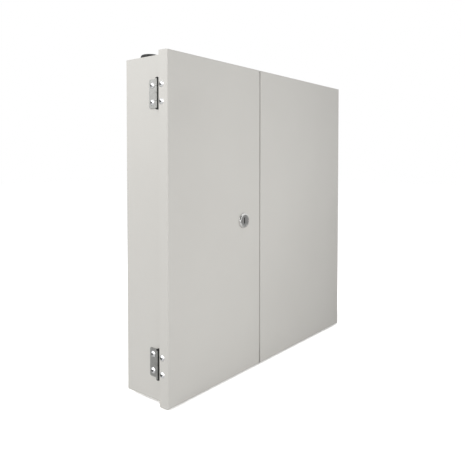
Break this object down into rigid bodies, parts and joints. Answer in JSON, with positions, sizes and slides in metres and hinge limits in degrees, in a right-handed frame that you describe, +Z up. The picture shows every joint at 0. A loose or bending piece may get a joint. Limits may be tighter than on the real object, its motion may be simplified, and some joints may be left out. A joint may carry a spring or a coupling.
{
  "type": "wall enclosure",
  "caption": "Shallow square steel wall box with two unequal lap-over doors on riveted butt hinges, a cam lock, a partition with adapter plate and a splice tray.",
  "frame": {"origin": "middle of the back face, on the wall plane", "axes": "+X to the right seen from the front, +Y into the wall, +Z up; the doors face -Y"},
  "size_m": [0.4036, 0.078, 0.4016],
  "materials": {
    "grey_powder_coat": "fine satin powder coat, light grey",
    "zinc_steel": "bright zinc plate, satin",
    "rivet_aluminium": "bright formed aluminium",
    "chrome": "polished chrome plate",
    "black_steel": "blackened steel",
    "black_rubber": "matt rubber",
    "black_plastic": "matt moulded plastic",
    "white_plastic": "matt moulded plastic",
    "clear_plastic": "clear, glossy",
    "ferrite": "matt dark grey ferrite",
    "knurled_nuts": "plain brass"
  },
  "bodies": {
    "cabinet": {"cabinet_wrap": "grey_powder_coat", "cabinet_top": "grey_powder_coat", "cabinet_bottom": "grey_powder_coat", "partition": "grey_powder_coat", "adapter_plate": "zinc_steel", "adapter_plate_screws": "zinc_steel", "adapter_plate_nuts": "zinc_steel", "catch_bracket_upper": "grey_powder_coat", "catch_bracket_lower": "grey_powder_coat", "catch_housing_upper": "white_plastic", "catch_housing_lower": "white_plastic", "catch_magnets": "ferrite", "catch_pole_plates": "zinc_steel", "catch_screws": "zinc_steel", "grommet_top_left": "black_rubber", "grommet_top_right": "black_rubber", "hinge_leaf_cabinet_upper_left": "zinc_steel", "hinge_leaf_cabinet_lower_left": "zinc_steel", "hinge_leaf_cabinet_upper_right": "zinc_steel", "hinge_leaf_cabinet_lower_right": "zinc_steel", "hinge_pin_upper_left": "black_steel", "hinge_pin_lower_left": "black_steel", "hinge_pin_upper_right": "black_steel", "hinge_pin_lower_right": "black_steel", "rivets_cabinet_left": "rivet_aluminium", "rivets_cabinet_right": "rivet_aluminium", "splice_tray": "black_plastic", "splice_holder": "white_plastic", "splice_tray_lid": "clear_plastic", "tray_studs": "zinc_steel", "tray_spacers": "white_plastic", "tray_nuts": "knurled_nuts", "cable_clips_left": "black_plastic", "cable_clips_right": "black_plastic", "tie_bar_top_left": "grey_powder_coat", "tie_bar_top_right": "grey_powder_coat", "tie_bar_bottom_left": "grey_powder_coat", "tie_bar_bottom_right": "grey_powder_coat", "earth_stud": "knurled_nuts", "earth_washer": "knurled_nuts", "earth_nut": "knurled_nuts"},
    "left_door": {"left_door_panel": "grey_powder_coat", "hinge_leaf_door_upper_left": "zinc_steel", "hinge_leaf_door_lower_left": "zinc_steel", "rivets_door_left": "rivet_aluminium", "lock_housing": "chrome", "lock_nut": "zinc_steel"},
    "lock_core": {"lock_plug": "chrome", "lock_cam": "zinc_steel", "lock_cam_screw": "zinc_steel"},
    "right_door": {"right_door_panel": "grey_powder_coat", "hinge_leaf_door_upper_right": "zinc_steel", "hinge_leaf_door_lower_right": "zinc_steel", "rivets_door_right": "rivet_aluminium"}
  },
  "joints": [
    {"name": "left_door_hinge", "type": "hinge", "parent": "cabinet", "child": "left_door", "pos_m": [-0.1985, -0.0574, 0], "axis": [0, 0, -1], "range_deg": [0, 120]},
    {"name": "right_door_hinge", "type": "hinge", "parent": "cabinet", "child": "right_door", "pos_m": [0.1985, -0.0574, 0], "axis": [0, 0, 1], "range_deg": [0, 120]},
    {"name": "lock_turn", "type": "hinge", "parent": "left_door", "child": "lock_core", "pos_m": [-0.0646, -0.075, 0], "axis": [0, -1, 0], "range_deg": [0, 90]}
  ]
}
